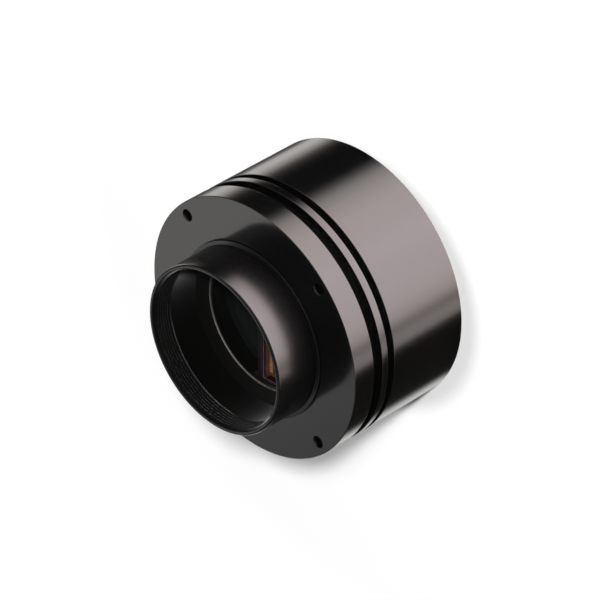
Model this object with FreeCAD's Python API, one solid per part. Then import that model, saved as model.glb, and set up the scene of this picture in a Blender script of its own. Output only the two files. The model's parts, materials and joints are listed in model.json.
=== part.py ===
import FreeCAD, Part
import math
import os

os.makedirs("parts", exist_ok=True)

# Cylindrical line-scan camera. Millimetres. Z runs along the optical axis, from the rear rim at 0
# to the lens mouth, and the sensor's line lies along Y.

# Body
body_radius = 32.5
body_length = 34.3              # rear rim to flange face
edge_break = 0.2                # chamfer on the turned edges

# Flange, land and the two clamping grooves
flange_thickness = 6.05
front_groove_width = 2.6
land_width = 2.0
rear_groove_width = 1.8
groove_depth = 2.3

# Lens neck with its M40 x 0.75 thread
neck_height = 12.4
neck_wall = 1.0                 # outside the thread's major radius
rim_break = 0.35
shoulder_step = 1.0
shoulder_height = 0.8
thread_major_radius = 20.0
thread_pitch = 0.75
thread_length = 5.6             # down from the mouth, lead-in included
lead_in_depth = 1.0
lead_in_width = 0.45
relief_step = 0.3               # bore under the thread, past its major radius
focal_distance = 19.5           # lens mouth to the light-sensitive face

# Web between the neck and the sensor chamber
web_drop = 1.6                  # outer edge of the web, below the flange face
web_cone_height = 1.5
web_cone_width = 3.1
web_lip_height = 1.1
web_edge_break = 0.25
chamber_undercut = 1.8

# Tapped holes in the flange, M3
flange_hole_count = 4
flange_hole_radius = 1.25
flange_hole_depth = 5.0
flange_hole_inset = 3.0         # hole axis in from the body's outside
flange_hole_break = 0.3

# Tube and spigot
tube_wall = 3.5
spigot_length = 5.5
spigot_wall = 2.6
spigot_clearance = 0.05
seal_groove_width = 1.4
seal_groove_depth = 0.9
seal_width = 1.2
seal_clearance = 0.01

# Rear cover
rear_rim_width = 2.1
cover_recess = 2.0              # cover's face in from the rear rim
cover_thickness = 3.0
cover_clearance = 0.1
gasket_thickness = 0.5
ledge_height = 4.0
cover_screw_inset = 2.3

# M2 screws and hexagon spacers
screw_radius = 1.0
screw_hole_clearance = 0.1
tapped_hole_clearance = 0.05
screw_head_radius = 1.9
pan_head_height = 1.3
screw_engagement = 3.2
screw_run_out = 0.4
spacer_across_flats = 4.0
spacer_inset = 2.4              # spacer axis in from the boards' edge
screw_count = 4

# Sensor package
chip_length = 33.0
chip_width = 1.0
chip_thickness = 0.4
chip_end_gap = 0.9              # chip to the cavity's ends
chip_side_gap = 1.7             # chip to the cavity's sides
chip_headroom = 0.9             # chip face to package top
package_end_wall = 3.4
package_side_wall = 2.6
package_floor = 1.3
gold_thickness = 0.1
gold_pad_margin = 0.4
finger_count = 8
finger_pitch = 0.7
finger_width = 0.4
finger_length = 0.9
glass_overlap = 0.7
glass_thickness = 0.6
notch_radius = 1.0
pin_count = 11
pin_pitch = 2.54
pin_width = 0.45
pin_thickness = 0.25
pin_shoulder = 0.6              # pin's upper end, below the package top
pin_stick_out = 1.0
package_standoff = 0.4
slot_clearance = 0.8

# Boards
board_thickness = 1.6
board_clearance = 0.1

# Connectors between boards
stack_connector_length = 24.0
stack_connector_width = 6.4
stack_connector_wall = 1.1
stack_connector_fit = 0.1
stack_connector_offset = 13.0

# Parts on the boards: length along X, along Y, height, and places
capacitor_size = (1.6, 3.2, 1.6)
capacitor_x = 7.0
capacitor_pitch = 4.0
converter_size = (9.0, 9.0, 1.1)
logic_size = (17.0, 17.0, 2.0)
logic_x = -9.0
memory_size = (8.0, 12.0, 1.1)
memory_x = 4.0
oscillator_size = (3.2, 2.5, 0.8)
oscillator_x = 4.0
oscillator_y = 12.0
coil_size = (6.0, 6.0, 3.0)
coil_x = 9.0
coil_y = 9.0
transceiver_size = (8.0, 8.0, 1.0)
transceiver_x = 10.0
lamp_size = (1.6, 0.8, 0.6)

# Round power and I/O socket
cover_to_board = 3.2            # rear cover's inner face to the interface board
io_inset = 14.25                # socket's axis in from the boards' edge
io_shell_radius = 5.4
io_bore_radius = 4.4
io_flange_step = 1.4
io_flange_height = 1.3
io_shell_length = 6.4
io_clearance = 0.1
io_nut_across_flats = 13.0
io_nut_height = 1.6
io_insert_recess = 3.4          # insert's face in from the shell's rim
io_contact_count = 6
io_contact_circle = 2.6
io_contact_radius = 0.35
io_contact_proud = 2.4          # past the insert's face
io_contact_clearance = 0.1
io_key_width = 1.2
io_key_depth = 0.7

# Slim data socket with two lock holes, M2
data_inset = 15.25               # socket's axis in from the boards' edge
data_main_width = 6.9
data_side_width = 4.4
data_bridge_width = 0.5
data_bridge_drop = 0.45
data_height = 1.9
data_corner = 0.55
data_shell_wall = 0.3
data_shell_proud = 0.9          # past the cover's face
data_cut_clearance = 0.25
data_tongue_thickness = 0.5
data_tongue_margin = 0.75
data_tongue_recess = 0.8
data_base_height = 1.6
data_contact_count = 5
data_contact_width = 0.3
data_contact_thickness = 0.1
data_lock_spacing = 15.4
data_lock_radius = 0.8

# Status light guide
light_inset = 12.25             # in from the boards' edge
light_y = 0.0
light_radius = 1.25
light_collar_step = 0.6
light_collar_height = 0.8
light_clearance = 0.05
light_recess = 0.15

# Levels along the axis
face_z = body_length
mouth_z = face_z + neck_height
front_groove_top = face_z - flange_thickness
land_top = front_groove_top - front_groove_width
land_bottom = land_top - land_width
tube_top = land_bottom - rear_groove_width
spigot_bottom = tube_top - spigot_length
web_top = face_z - web_drop
web_lip_top = web_top - web_cone_height
web_bottom = web_lip_top - web_lip_height
chip_top = mouth_z - focal_distance
cavity_floor = chip_top - chip_thickness - gold_thickness
package_top = chip_top + chip_headroom
package_bottom = cavity_floor - package_floor
board_seat = package_bottom - package_standoff
sensor_board_bottom = board_seat - board_thickness
cover_inner = cover_recess + cover_thickness
ledge_bottom = cover_inner + gasket_thickness
ledge_top = ledge_bottom + ledge_height
interface_bottom = cover_inner + cover_to_board
interface_top = interface_bottom + board_thickness
spacer_length = (sensor_board_bottom - interface_top - board_thickness) / 2
processing_bottom = interface_top + spacer_length
processing_top = processing_bottom + board_thickness
spacer_bore = 0.6 * spacer_length

# Radii and centre distances
neck_radius = thread_major_radius + neck_wall
shoulder_radius = neck_radius + shoulder_step
thread_minor_radius = thread_major_radius - 0.54127 * thread_pitch
relief_radius = thread_major_radius + relief_step
opening_radius = relief_radius - web_cone_width
chamber_radius = opening_radius + chamber_undercut
groove_floor_radius = body_radius - groove_depth
flange_hole_circle = body_radius - flange_hole_inset
tube_bore_radius = body_radius - tube_wall
spigot_radius = tube_bore_radius - spigot_clearance
board_recess_radius = spigot_radius - spigot_wall
board_radius = board_recess_radius - board_clearance
spacer_circle = board_radius - spacer_inset
rear_bore_radius = body_radius - rear_rim_width
cover_radius = rear_bore_radius - cover_clearance
ledge_radius = board_recess_radius + board_clearance
cover_screw_circle = cover_radius - cover_screw_inset
screw_hole_radius = screw_radius + screw_hole_clearance
tapped_hole_radius = screw_radius + tapped_hole_clearance
io_offset = board_radius - io_inset
data_offset = board_radius - data_inset
light_x = board_radius - light_inset

# Package and its cavity
cavity_length = chip_length + 2 * chip_end_gap
cavity_width = chip_width + 2 * chip_side_gap
package_length = cavity_length + 2 * package_end_wall
package_width = cavity_width + 2 * package_side_wall

origin = FreeCAD.Vector(0, 0, 0)
up = FreeCAD.Vector(0, 0, 1)


def turned(*profile):
    """Solid of revolution round Z from its half section, given as points (r, z)."""
    corners = [FreeCAD.Vector(r, 0, z) for r, z in profile + profile[:1]]
    return Part.Face(Part.makePolygon(corners)).revolve(origin, up, 360)


def bar(radius, low, high, x=0, y=0):
    return Part.makeCylinder(radius, high - low, FreeCAD.Vector(x, y, low))


def block(size, x, y, low):
    """Box centred on (x, y) that stands on the level low."""
    corner = FreeCAD.Vector(x - size[0] / 2, y - size[1] / 2, low)
    return Part.makeBox(size[0], size[1], size[2], corner)


def hexagon(across_flats, low, high, x=0, y=0):
    corner_radius = across_flats / math.sqrt(3)
    corners = []
    for i in range(7):
        angle = math.radians(60 * i)
        corners.append(
            FreeCAD.Vector(x + corner_radius * math.cos(angle), y + corner_radius * math.sin(angle), low)
        )
    return Part.Face(Part.makePolygon(corners)).extrude(FreeCAD.Vector(0, 0, high - low))


def ring_places(count, radius, first_angle):
    places = []
    for i in range(count):
        angle = math.radians(first_angle + 360 * i / count)
        places.append((radius * math.cos(angle), radius * math.sin(angle)))
    return places


def cut_all(shape, tools):
    return shape.cut(Part.makeCompound(tools)) if tools else shape


def save(name, solids):
    shape = solids[0] if len(solids) == 1 else Part.makeCompound(solids)
    for solid in shape.Solids:
        assert solid.isValid() and solid.Volume > 0, name
    shape.exportStep("parts/" + name + ".step")
    print(name, len(shape.Solids), round(shape.Volume, 2))


flange_hole_places = ring_places(flange_hole_count, flange_hole_circle, 45)
spacer_places = ring_places(screw_count, spacer_circle, 45)
cover_screw_places = ring_places(screw_count, cover_screw_circle, 45)


def front_housing():
    """Flange, shoulder, lens neck, web, grooves and spigot, turned from one bar."""
    seal_groove_top = (spigot_bottom + tube_top + seal_groove_width) / 2
    seal_groove_bottom = seal_groove_top - seal_groove_width
    thread_bottom = mouth_z - thread_length
    relief_top = thread_bottom - (relief_radius - thread_minor_radius)
    housing = turned(
        (neck_radius - rim_break, mouth_z),
        (neck_radius, mouth_z - rim_break),
        (neck_radius, face_z + shoulder_height),
        (shoulder_radius - edge_break, face_z + shoulder_height),
        (shoulder_radius, face_z + shoulder_height - edge_break),
        (shoulder_radius, face_z),
        (body_radius - edge_break, face_z),
        (body_radius, face_z - edge_break),
        (body_radius, front_groove_top + edge_break),
        (body_radius - edge_break, front_groove_top),
        (groove_floor_radius, front_groove_top),
        (groove_floor_radius, land_top),
        (body_radius - edge_break, land_top),
        (body_radius, land_top - edge_break),
        (body_radius, land_bottom + edge_break),
        (body_radius - edge_break, land_bottom),
        (groove_floor_radius, land_bottom),
        (groove_floor_radius, tube_top),
        (spigot_radius, tube_top),
        (spigot_radius, seal_groove_top),
        (spigot_radius - seal_groove_depth, seal_groove_top),
        (spigot_radius - seal_groove_depth, seal_groove_bottom),
        (spigot_radius, seal_groove_bottom),
        (spigot_radius, spigot_bottom + edge_break),
        (spigot_radius - edge_break, spigot_bottom),
        (board_recess_radius, spigot_bottom),
        (board_recess_radius, board_seat),
        (chamber_radius, board_seat),
        (chamber_radius, web_bottom),
        (opening_radius, web_bottom),
        (opening_radius, web_lip_top - web_edge_break),
        (opening_radius + web_edge_break, web_lip_top),
        (relief_radius, web_top),
        (relief_radius, relief_top),
        (thread_minor_radius, thread_bottom),
        (thread_minor_radius, mouth_z - lead_in_depth),
        (thread_minor_radius + lead_in_width, mouth_z),
    )
    slot_size = (
        package_width + 2 * (pin_thickness + slot_clearance),
        package_length + 2 * slot_clearance,
        web_bottom - board_seat,
    )
    slot = block(slot_size, 0, 0, board_seat)
    corners = [edge for edge in slot.Edges if abs(edge.tangentAt(edge.FirstParameter).z) > 0.9]
    tools = [slot.makeFillet(slot_clearance, corners)]
    for x, y in flange_hole_places:
        tools.append(bar(flange_hole_radius, face_z - flange_hole_depth, face_z, x, y))
        cone = Part.makeCone(
            flange_hole_radius,
            flange_hole_radius + flange_hole_break,
            flange_hole_break,
            FreeCAD.Vector(x, y, face_z - flange_hole_break),
        )
        tools.append(cone)
    for x, y in spacer_places:
        tapped_top = board_seat + screw_engagement + screw_run_out
        tools.append(bar(tapped_hole_radius, board_seat, tapped_top, x, y))
    return cut_all(housing, tools)


def housing_tube():
    """Sleeve with an inner ledge that the rear cover is screwed to."""
    tube = turned(
        (tube_bore_radius, tube_top),
        (body_radius - edge_break, tube_top),
        (body_radius, tube_top - edge_break),
        (body_radius, edge_break),
        (body_radius - edge_break, 0),
        (rear_bore_radius + edge_break, 0),
        (rear_bore_radius, edge_break),
        (rear_bore_radius, ledge_bottom),
        (ledge_radius, ledge_bottom),
        (ledge_radius, ledge_top),
        (tube_bore_radius, ledge_top),
    )
    tools = []
    for x, y in cover_screw_places:
        tapped_top = ledge_bottom + screw_engagement + screw_run_out
        tools.append(bar(tapped_hole_radius, ledge_bottom, tapped_top, x, y))
    return cut_all(tube, tools)


def front_seal():
    """Square ring that fills the spigot's groove out to the tube."""
    middle = (spigot_bottom + tube_top) / 2
    inside = spigot_radius - seal_groove_depth + seal_clearance
    outside = tube_bore_radius - seal_clearance
    return turned(
        (inside, middle - seal_width / 2),
        (outside, middle - seal_width / 2),
        (outside, middle + seal_width / 2),
        (inside, middle + seal_width / 2),
    )


def data_outline(level, grow):
    """Mouth of the slim data socket: a wide part and a narrow part joined by a bridge."""
    total = data_main_width + data_bridge_width + data_side_width
    left = -total / 2
    main_right = left + data_main_width
    side_left = main_right + data_bridge_width
    right = total / 2
    low = data_offset - data_height / 2
    high = data_offset + data_height / 2
    points = [
        (left, low + data_corner),
        (left + data_corner, low),
        (main_right - data_corner, low),
        (main_right, low + data_bridge_drop),
        (side_left, low + data_bridge_drop),
        (side_left + data_corner, low),
        (right - data_corner, low),
        (right, low + data_corner),
        (right, high),
        (left, high),
    ]
    corners = [FreeCAD.Vector(x, y, level) for x, y in points + points[:1]]
    wire = Part.makePolygon(corners)
    return wire.makeOffset2D(grow, 2) if grow else wire


def data_prism(low, high, grow=0):
    return Part.Face(data_outline(low, grow)).extrude(FreeCAD.Vector(0, 0, high - low))


def rear_cover():
    cover = turned(
        (0, cover_recess),
        (cover_radius - edge_break, cover_recess),
        (cover_radius, cover_recess + edge_break),
        (cover_radius, cover_inner),
        (0, cover_inner),
    )
    tools = [
        bar(io_shell_radius + io_clearance, cover_recess, cover_inner, 0, -io_offset),
        bar(light_radius + light_clearance, cover_recess, cover_inner, light_x, light_y),
        data_prism(cover_recess, cover_inner, data_shell_wall + data_cut_clearance),
    ]
    for x in (-data_lock_spacing / 2, data_lock_spacing / 2):
        tools.append(bar(data_lock_radius, cover_recess, cover_inner, x, data_offset))
    head_depth = screw_head_radius - screw_radius
    for x, y in cover_screw_places:
        tools.append(bar(screw_hole_radius, cover_recess, cover_inner, x, y))
        sink = Part.makeCone(
            screw_head_radius + screw_hole_clearance,
            screw_hole_radius,
            head_depth,
            FreeCAD.Vector(x, y, cover_recess),
        )
        tools.append(sink)
    return cut_all(cover, tools)


def cover_gasket():
    gasket = turned(
        (ledge_radius, cover_inner),
        (cover_radius, cover_inner),
        (cover_radius, ledge_bottom),
        (ledge_radius, ledge_bottom),
    )
    tools = [bar(screw_hole_radius, cover_inner, ledge_bottom, x, y) for x, y in cover_screw_places]
    return cut_all(gasket, tools)


def cover_screws():
    """Countersunk screws with a hexagon socket, heads level with the cover."""
    screws = []
    head_depth = screw_head_radius - screw_radius
    for x, y in cover_screw_places:
        head = Part.makeCone(
            screw_head_radius, screw_radius, head_depth, FreeCAD.Vector(x, y, cover_recess)
        )
        shank = bar(screw_radius, cover_recess + head_depth, ledge_bottom + screw_engagement, x, y)
        socket = hexagon(
            1.3 * screw_radius, cover_recess, cover_recess + 0.8 * screw_radius, x, y
        )
        screws.append(head.fuse(shank).removeSplitter().cut(socket))
    return screws


def sensor_package():
    """Ceramic body with the chip's cavity and an end notch that marks pin 1."""
    body = block((package_width, package_length, package_top - package_bottom), 0, 0, package_bottom)
    cavity = block((cavity_width, cavity_length, package_top - cavity_floor), 0, 0, cavity_floor)
    notch = bar(notch_radius, package_bottom, package_top, 0, package_length / 2)
    return cut_all(body, [cavity, notch])


def sensor_gold():
    """Gold pad under the chip, and bond fingers beside both of its ends."""
    pad_width = chip_width + 2 * gold_pad_margin
    pad_length = chip_length + 2 * gold_pad_margin
    plates = [block((pad_width, pad_length, gold_thickness), 0, 0, cavity_floor)]
    finger_x = cavity_width / 2 - finger_length / 2
    first_y = pad_length / 2 - finger_pitch * finger_count
    for side_x in (-finger_x, finger_x):
        for end in (-1, 1):
            for i in range(finger_count):
                y = end * (first_y + finger_pitch * (i + 0.5))
                plates.append(block((finger_length, finger_width, gold_thickness), side_x, y, cavity_floor))
    return plates


def sensor_chip():
    return block((chip_width, chip_length, chip_thickness), 0, 0, cavity_floor + gold_thickness)


def sensor_glass():
    size = (cavity_width + 2 * glass_overlap, cavity_length + 2 * glass_overlap, glass_thickness)
    return block(size, 0, 0, package_top)


def pin_places():
    places = []
    pin_x = package_width / 2 + pin_thickness / 2
    for side_x in (-pin_x, pin_x):
        for i in range(pin_count):
            places.append((side_x, pin_pitch * (i - (pin_count - 1) / 2)))
    return places


def sensor_pins():
    low = sensor_board_bottom - pin_stick_out
    size = (pin_thickness, pin_width, package_top - pin_shoulder - low)
    return [block(size, x, y, low) for x, y in pin_places()]


def round_board(low, extra_holes):
    """Disc board with its fixing holes, and the holes that are passed in."""
    board = bar(board_radius, low, low + board_thickness)
    tools = [bar(screw_hole_radius, low, low + board_thickness, x, y) for x, y in spacer_places]
    return cut_all(board, tools + extra_holes)


def io_contact_places():
    places = ring_places(io_contact_count, io_contact_circle, 90 + 180 / io_contact_count)
    return [(x, y - io_offset) for x, y in places]


def spacers(low, engagement):
    """Hexagon spacers: a stud above, through the board, and a tapped bore below."""
    pieces = []
    high = low + spacer_length
    for x, y in spacer_places:
        post = hexagon(spacer_across_flats, low, high, x, y)
        stud = bar(screw_radius, high, high + board_thickness + engagement, x, y)
        bore = bar(tapped_hole_radius, low, low + spacer_bore, x, y)
        pieces.append(post.fuse(stud).cut(bore))
    return pieces


def board_screws(engagement):
    """Pan-head screws under the interface board, with a slot."""
    screws = []
    for x, y in spacer_places:
        head = bar(screw_head_radius, interface_bottom - pan_head_height, interface_bottom, x, y)
        shank = bar(screw_radius, interface_bottom, interface_top + engagement, x, y)
        slot_size = (2 * screw_head_radius, 0.5 * screw_radius, 0.5 * pan_head_height)
        slot = block(slot_size, x, y, interface_bottom - pan_head_height)
        screws.append(head.fuse(shank).cut(slot))
    return screws


def stack_socket(low, x):
    """Lower half of a board-to-board pair: a trough that takes the plug's tongue."""
    height = 0.6 * spacer_length
    body = block((stack_connector_width, stack_connector_length, height), x, 0, low)
    trough_size = (
        stack_connector_width - 2 * stack_connector_wall,
        stack_connector_length - 2 * stack_connector_wall,
        height - stack_connector_wall / 2,
    )
    return body.cut(block(trough_size, x, 0, low + stack_connector_wall / 2))


def stack_plug(high, x):
    """Upper half of a board-to-board pair, with its tongue in the trough."""
    height = 0.4 * spacer_length
    joint = high - height
    body = block((stack_connector_width, stack_connector_length, height), x, 0, joint)
    inset = 2 * (stack_connector_wall + stack_connector_fit)
    tongue_height = 0.5 * spacer_length - stack_connector_wall / 2
    tongue_size = (stack_connector_width - inset, stack_connector_length - inset, tongue_height)
    tongue = block(tongue_size, x, 0, joint - tongue_height)
    return body.fuse(tongue).removeSplitter()


def sensor_board_capacitors():
    """Two rows under the board, outside the package's pins and clear of the converter."""
    low = sensor_board_bottom - capacitor_size[2]
    pieces = []
    for x in (-capacitor_x, capacitor_x):
        for step in (-3, -2, 2, 3):
            pieces.append(block(capacitor_size, x, step * capacitor_pitch, low))
    return pieces


def io_socket_shell():
    """Flanged barrel with a key inside that fits the plug's keyway."""
    flange_low = cover_recess - io_flange_height
    shell = turned(
        (io_bore_radius, flange_low),
        (io_shell_radius + io_flange_step - edge_break, flange_low),
        (io_shell_radius + io_flange_step, flange_low + edge_break),
        (io_shell_radius + io_flange_step, cover_recess),
        (io_shell_radius, cover_recess),
        (io_shell_radius, flange_low + io_shell_length),
        (io_bore_radius, flange_low + io_shell_length),
    )
    key_low = flange_low + io_key_depth
    key_high = flange_low + io_insert_recess - io_clearance
    key_size = (io_key_width, 2 * io_key_depth, key_high - key_low)
    shell = shell.fuse(block(key_size, 0, io_bore_radius, key_low)).removeSplitter()
    shell.translate(FreeCAD.Vector(0, -io_offset, 0))
    return shell


def io_socket_nut():
    nut = hexagon(io_nut_across_flats, cover_inner, cover_inner + io_nut_height, 0, -io_offset)
    hole_radius = io_shell_radius + tapped_hole_clearance
    return nut.cut(bar(hole_radius, cover_inner, cover_inner + io_nut_height, 0, -io_offset))


def io_socket_insert():
    """Insulator set back in the shell, with a collar behind it."""
    face = cover_recess - io_flange_height + io_insert_recess
    shell_high = cover_recess - io_flange_height + io_shell_length
    collar_high = (shell_high + interface_bottom) / 2
    body = bar(io_bore_radius - io_clearance, face, shell_high, 0, -io_offset)
    collar = bar(io_shell_radius - io_clearance, shell_high, collar_high, 0, -io_offset)
    hole_radius = io_contact_radius + io_contact_clearance / 2
    holes = [bar(hole_radius, face, collar_high, x, y) for x, y in io_contact_places()]
    return cut_all(body.fuse(collar), holes)


def io_socket_contacts():
    """Pins that stand in the shell and run through to the interface board."""
    low = cover_recess - io_flange_height + io_insert_recess - io_contact_proud
    high = interface_top + io_contact_radius
    return [bar(io_contact_radius, low, high, x, y) for x, y in io_contact_places()]


def data_socket_shell():
    low = cover_recess - data_shell_proud
    outer = data_prism(low, interface_bottom, data_shell_wall)
    return outer.cut(data_prism(low, interface_bottom))


def data_tongue_places():
    """Centre and width along X of the two tongues."""
    total = data_main_width + data_bridge_width + data_side_width
    main_x = -total / 2 + data_main_width / 2
    side_x = total / 2 - data_side_width / 2
    return (
        (main_x, data_main_width - 2 * data_tongue_margin),
        (side_x, data_side_width - 2 * data_tongue_margin),
    )


def data_socket_tongue():
    """Insulator: a base that fills the shell's inner end, with two tongues."""
    base_low = interface_bottom - data_base_height
    tongue_low = cover_recess - data_shell_proud + data_tongue_recess
    insulator = data_prism(base_low, interface_bottom)
    for x, width in data_tongue_places():
        size = (width, data_tongue_thickness, base_low - tongue_low)
        insulator = insulator.fuse(block(size, x, data_offset, tongue_low))
    return insulator.removeSplitter()


def data_socket_contacts():
    base_low = interface_bottom - data_base_height
    tongue_low = cover_recess - data_shell_proud + data_tongue_recess
    strips = []
    strip_y = data_offset - data_tongue_thickness / 2 - data_contact_thickness / 2
    strip_low = tongue_low + data_tongue_recess / 2
    size = (data_contact_width, data_contact_thickness, base_low - strip_low)
    for x, width in data_tongue_places():
        pitch = width / data_contact_count
        for i in range(data_contact_count):
            strip_x = x + pitch * (i - (data_contact_count - 1) / 2)
            strips.append(block(size, strip_x, strip_y, strip_low))
    return strips


def status_light_guide():
    low = cover_recess + light_recess
    high = interface_bottom - lamp_size[2]
    stem = bar(light_radius, low, high, light_x, light_y)
    collar_top = cover_inner + light_collar_height
    collar = bar(light_radius + light_collar_step, cover_inner, collar_top, light_x, light_y)
    return stem.fuse(collar)


save("front_housing", [front_housing()])
save("housing_tube", [housing_tube()])
save("rear_cover", [rear_cover()])
save("front_seal", [front_seal()])
save("cover_gasket", [cover_gasket()])
save("cover_screws", cover_screws())

save("sensor_package", [sensor_package()])
save("sensor_gold", sensor_gold())
save("sensor_chip", [sensor_chip()])
save("sensor_glass", [sensor_glass()])
save("sensor_pins", sensor_pins())

pin_hole_size = (pin_width + board_clearance, pin_width + 2 * board_clearance, board_thickness)
pin_holes = [block(pin_hole_size, x, y, sensor_board_bottom) for x, y in pin_places()]
save("sensor_board", [round_board(sensor_board_bottom, pin_holes)])
save("sensor_board_capacitors", sensor_board_capacitors())
converter_low = sensor_board_bottom - converter_size[2]
save("converter_chip", [block(converter_size, -stack_connector_offset, 0, converter_low)])

save("front_spacers", spacers(processing_top, screw_engagement))
save("processing_board", [round_board(processing_bottom, [])])
save("logic_chip", [block(logic_size, logic_x, 0, processing_top)])
memory_low = processing_bottom - memory_size[2]
memory_y = memory_size[1]
save("memory_chips", [block(memory_size, memory_x, y, memory_low) for y in (-memory_y, memory_y)])
save("clock_oscillator", [block(oscillator_size, oscillator_x, oscillator_y, processing_top)])

save("rear_spacers", spacers(interface_top, spacer_bore - screw_run_out))
io_hole_radius = io_contact_radius + io_contact_clearance
io_holes = [bar(io_hole_radius, interface_bottom, interface_top, x, y) for x, y in io_contact_places()]
save("interface_board", [round_board(interface_bottom, io_holes)])
save("board_screws", board_screws(spacer_bore - screw_run_out))
save("power_coils", [block(coil_size, coil_x, y, interface_top) for y in (-coil_y, coil_y)])
save("transceiver_chip", [block(transceiver_size, transceiver_x, 0, interface_top)])

save("sensor_board_plug", [stack_plug(sensor_board_bottom, stack_connector_offset)])
save("processing_front_socket", [stack_socket(processing_top, stack_connector_offset)])
save("processing_rear_plug", [stack_plug(processing_bottom, -stack_connector_offset)])
save("interface_board_socket", [stack_socket(interface_top, -stack_connector_offset)])

save("io_socket_shell", [io_socket_shell()])
save("io_socket_nut", [io_socket_nut()])
save("io_socket_insert", [io_socket_insert()])
save("io_socket_contacts", io_socket_contacts())
save("data_socket_shell", [data_socket_shell()])
save("data_socket_tongue", [data_socket_tongue()])
save("data_socket_contacts", data_socket_contacts())
save("status_light_guide", [status_light_guide()])
save("status_lamp", [block(lamp_size, light_x, light_y, interface_bottom - lamp_size[2])])
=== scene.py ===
import bpy
import bmesh
import json
import math
from mathutils import Matrix, Vector


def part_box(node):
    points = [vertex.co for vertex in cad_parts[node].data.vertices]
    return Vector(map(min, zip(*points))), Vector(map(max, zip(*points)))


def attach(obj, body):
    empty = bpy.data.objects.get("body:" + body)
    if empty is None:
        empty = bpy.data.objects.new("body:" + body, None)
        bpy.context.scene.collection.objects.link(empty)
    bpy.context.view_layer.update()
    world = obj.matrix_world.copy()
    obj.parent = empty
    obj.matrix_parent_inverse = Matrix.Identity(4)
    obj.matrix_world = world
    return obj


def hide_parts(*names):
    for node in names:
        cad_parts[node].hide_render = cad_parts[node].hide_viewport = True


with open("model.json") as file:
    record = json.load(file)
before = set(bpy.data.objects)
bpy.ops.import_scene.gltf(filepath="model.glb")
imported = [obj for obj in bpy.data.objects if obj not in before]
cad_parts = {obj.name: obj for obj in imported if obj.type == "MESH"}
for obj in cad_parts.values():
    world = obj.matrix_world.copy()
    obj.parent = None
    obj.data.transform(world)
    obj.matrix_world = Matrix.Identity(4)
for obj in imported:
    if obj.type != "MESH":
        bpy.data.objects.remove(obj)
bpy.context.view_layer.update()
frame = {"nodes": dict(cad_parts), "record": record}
mm = 0.001
weld = 1e-7  # metres; points nearer to each other than this are one
cutOver = 0.2  # millimetres that a cutter runs past the face it opens
near = 0.01  # millimetres of play when faces are sorted by their place
# sides of a full circle, more where a curve is large or near
sides = {
    "body": 256,
    "shell": 160,
    "insert": 128,
    "socketHole": 96,
    "guide": 64,
    "hole": 48,
    "coverHole": 40,
    "notch": 32,
    "small": 24,
}
print("frame loaded")

mounts = {mount["name"]: mount for mount in frame["record"]["mounts"]}


def top(node):
    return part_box(node)[1].z / mm


def bottom(node):
    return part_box(node)[0].z / mm


def middle(node):
    low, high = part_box(node)
    return (low + high) / 2 / mm


def width(node, axis):
    low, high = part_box(node)
    return (high[axis] - low[axis]) / mm


# levels along the axis, in millimetres from the rear rim
faceZ = mounts["flange_holes"]["pos_m"][2] / mm
mouthZ = top("front_housing")
tubeTop = top("housing_tube")
coverZ = bottom("rear_cover")
coverTop = top("rear_cover")
boardSeat = top("sensor_board")
boardRadius = width("sensor_board", 0) / 2
bodyRadius = width("front_housing", 0) / 2
coverRadius = width("rear_cover", 0) / 2
print("levels read")


def linear(hexText):
    values = []
    for i in (0, 2, 4):
        c = int(hexText[i : i + 2], 16) / 255
        values.append(c / 12.92 if c <= 0.04045 else ((c + 0.055) / 1.055) ** 2.4)
    return (*values, 1.0)


def addNode(tree, kind, inputs=None, **settings):
    node = tree.nodes.new(kind)
    for key, value in settings.items():
        setattr(node, key, value)
    for key, value in (inputs or {}).items():
        if isinstance(value, bpy.types.NodeSocket):
            tree.links.new(value, node.inputs[key])
        else:
            node.inputs[key].default_value = value
    return node


def newMaterial(name):
    material = bpy.data.materials.new(name)
    material.use_nodes = True
    material.node_tree.nodes.clear()
    return material, material.node_tree


def finishMaterial(material, shader):
    addNode(material.node_tree, "ShaderNodeOutputMaterial", {"Surface": shader.outputs[0]})
    return material


grainRoughness = 0.55  # how much the finer octaves of a noise count
plainIor = 1.5  # resins, ceramics and rubbers, and the default that metals keep


def grainOf(vector, size, detail):
    # inputs of a noise whose grain has this size in millimetres
    return {"Vector": vector, "Scale": 1 / (size * mm), "Detail": detail, "Roughness": grainRoughness}


def ringVector(tree, coords):
    # radius and height only, so that a noise on it runs round the axis like turning marks
    place = coords.outputs["Object"]
    flat = addNode(tree, "ShaderNodeVectorMath", {0: place, 1: (1, 1, 0)}, operation="MULTIPLY")
    radius = addNode(tree, "ShaderNodeVectorMath", {0: flat.outputs[0]}, operation="LENGTH")
    height = addNode(tree, "ShaderNodeSeparateXYZ", {0: place}).outputs["Z"]
    return addNode(tree, "ShaderNodeCombineXYZ", {0: radius.outputs["Value"], 1: height}).outputs[0]


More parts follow.
